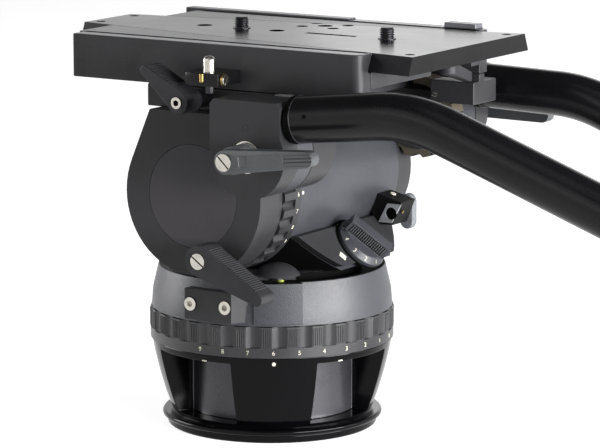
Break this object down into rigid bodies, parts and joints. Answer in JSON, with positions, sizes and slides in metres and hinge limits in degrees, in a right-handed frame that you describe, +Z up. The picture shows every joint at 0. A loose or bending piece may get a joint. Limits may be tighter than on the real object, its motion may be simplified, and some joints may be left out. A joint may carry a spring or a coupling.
{
  "type": "studio fluid head",
  "caption": "Studio fluid head: round flat base, pan body with drag ring, tilt drum between two cheeks, platform with a sliding wedge plate, and two bent pan bars with clamp levers.",
  "frame": {"origin": "on the pan axis at the underside of the foot", "axes": "+X towards the operator, the way the pan bars point; -Y the head's left side, with the tilt drag ring; +Z up along the pan axis"},
  "size_m": [0.5591, 0.3106, 0.2701],
  "materials": {
    "gloss_black": "black gloss coating",
    "cast_grey": "dark grey textured coating",
    "black_satin": "black satin anodised",
    "plate_grey": "grey anodised, fine brushed",
    "moulded_black": "moulded, fine grain",
    "bright_nickel": "polished",
    "dark_steel": "dark, fine turned",
    "bronze": "bronze anodised",
    "rubber": "fine grooved",
    "level_fluid": "clear yellow-green",
    "label": "bare, matt"
  },
  "bodies": {
    "base": {"foot_plate": "gloss_black", "base_casting": "gloss_black", "pan_spindle": "dark_steel", "pan_drag_cartridge": "dark_steel"},
    "pan_ring": {"pan_drag_ring": "cast_grey"},
    "pan": {"pan_bearing_lower": "bright_nickel", "pan_bearing_upper": "bright_nickel", "pan_housing": "cast_grey", "level_hood": "cast_grey", "level_vial": "level_fluid", "pan_brake_block": "black_satin", "pan_brake_screw_front": "bright_nickel", "pan_brake_screw_rear": "bright_nickel", "tilt_housing": "cast_grey", "tilt_bearing_left": "bright_nickel", "tilt_bearing_right": "bright_nickel", "tilt_drag_cartridge": "dark_steel", "counterbalance_cover": "cast_grey", "tilt_lock_block": "moulded_black"},
    "dial": {"counterbalance_dial": "cast_grey"},
    "tilt_ring": {"tilt_drag_ring": "cast_grey"},
    "tilt_lock": {"tilt_lock_lever": "plate_grey"},
    "tilt": {"tilt_axle": "dark_steel", "counterbalance_springs": "dark_steel", "left_cheek": "black_satin", "right_cheek": "black_satin", "label_disc": "label", "right_label_disc": "label", "left_rosette": "cast_grey", "right_rosette": "cast_grey", "fluted_ring": "bronze", "crown": "black_satin", "platform_slab": "black_satin", "left_rail": "plate_grey", "right_rail": "plate_grey", "left_side_panel": "black_satin", "right_side_panel": "black_satin", "pin_block": "moulded_black", "latch_block": "black_satin"},
    "plate_clamp": {"plate_clamp_lever": "moulded_black", "plate_clamp_shaft": "dark_steel"},
    "pin": {"safety_pin": "bright_nickel"},
    "tilt_brake": {"tilt_brake_lever": "moulded_black"},
    "thumb": {"thumb_lever": "moulded_black"},
    "plate": {"wedge_plate": "plate_grey"},
    "screw_front": {"camera_screw_front": "dark_steel"},
    "screw_rear": {"camera_screw_rear": "dark_steel"},
    "left_bar": {"left_bar_bracket": "black_satin", "left_bar_tube": "gloss_black", "left_bar_grip": "rubber"},
    "right_bar": {"right_bar_bracket": "black_satin", "right_bar_tube": "gloss_black", "right_bar_grip": "rubber"},
    "left_clamp": {"left_bar_lever": "moulded_black"},
    "right_clamp": {"right_bar_lever": "moulded_black"}
  },
  "joints": [
    {"name": "pan_turn", "type": "hinge", "parent": "base", "child": "pan", "pos_m": [0, 0, 0.093], "axis": [0, 0, 1], "continuous": true},
    {"name": "pan_ring_turn", "type": "hinge", "parent": "base", "child": "pan_ring", "pos_m": [0, 0, 0.069], "axis": [0, 0, 1], "range_deg": [-75, 36]},
    {"name": "tilt_turn", "type": "hinge", "parent": "pan", "child": "tilt", "pos_m": [0, 0, 0.1649], "axis": [0, 1, 0], "range_deg": [-60, 60]},
    {"name": "tilt_ring_turn", "type": "hinge", "parent": "pan", "child": "tilt_ring", "pos_m": [0, -0.058, 0.1649], "axis": [0, -1, 0], "range_deg": [-75, 36]},
    {"name": "dial_turn", "type": "hinge", "parent": "pan", "child": "dial", "pos_m": [0.05912, 0.0145, 0.12241], "axis": [0.7431, 0, 0.6691], "range_deg": [-66, 66]},
    {"name": "tilt_lock_turn", "type": "hinge", "parent": "pan", "child": "tilt_lock", "pos_m": [0.06182, 0.0735, 0.1439], "axis": [0, -1, 0], "range_deg": [0, 40]},
    {"name": "plate_clamp_turn", "type": "hinge", "parent": "tilt", "child": "plate_clamp", "pos_m": [0.002, -0.1, 0.2279], "axis": [0, -1, 0], "range_deg": [-15, 70]},
    {"name": "pin_press", "type": "slide", "parent": "tilt", "child": "pin", "axis": [0, 0, -1], "range_m": [0, 0.006], "stiffness_N_per_m": 250, "springref_m": -0.003},
    {"name": "tilt_brake_turn", "type": "hinge", "parent": "tilt", "child": "tilt_brake", "pos_m": [0.0162, -0.104, 0.1271], "axis": [0, -1, 0], "range_deg": [-20, 40]},
    {"name": "thumb_turn", "type": "hinge", "parent": "tilt", "child": "thumb", "pos_m": [0.111, 0.0646, 0.232], "axis": [0, 0, 1], "range_deg": [0, 35]},
    {"name": "plate_slide", "type": "slide", "parent": "tilt", "child": "plate", "axis": [1, 0, 0], "range_m": [0, 0.12]},
    {"name": "screw_front_turn", "type": "hinge", "parent": "plate", "child": "screw_front", "pos_m": [-0.0235, 0, 0.262], "axis": [0, 0, 1], "continuous": true},
    {"name": "screw_rear_turn", "type": "hinge", "parent": "plate", "child": "screw_rear", "pos_m": [0.0883, 0, 0.262], "axis": [0, 0, 1], "continuous": true},
    {"name": "left_bar_turn", "type": "hinge", "parent": "tilt", "child": "left_bar", "pos_m": [0.0646, -0.12, 0.2005], "axis": [0, -1, 0], "range_deg": [-75, 60]},
    {"name": "right_bar_turn", "type": "hinge", "parent": "tilt", "child": "right_bar", "pos_m": [0.0646, 0.12, 0.2005], "axis": [0, -1, 0], "range_deg": [-67, 60]},
    {"name": "left_clamp_turn", "type": "hinge", "parent": "tilt", "child": "left_clamp", "pos_m": [0.0646, -0.14, 0.2005], "axis": [0, -1, 0], "range_deg": [-60, 60]},
    {"name": "right_clamp_turn", "type": "hinge", "parent": "tilt", "child": "right_clamp", "pos_m": [0.0646, 0.14, 0.2005], "axis": [0, -1, 0], "range_deg": [-60, 60]}
  ]
}
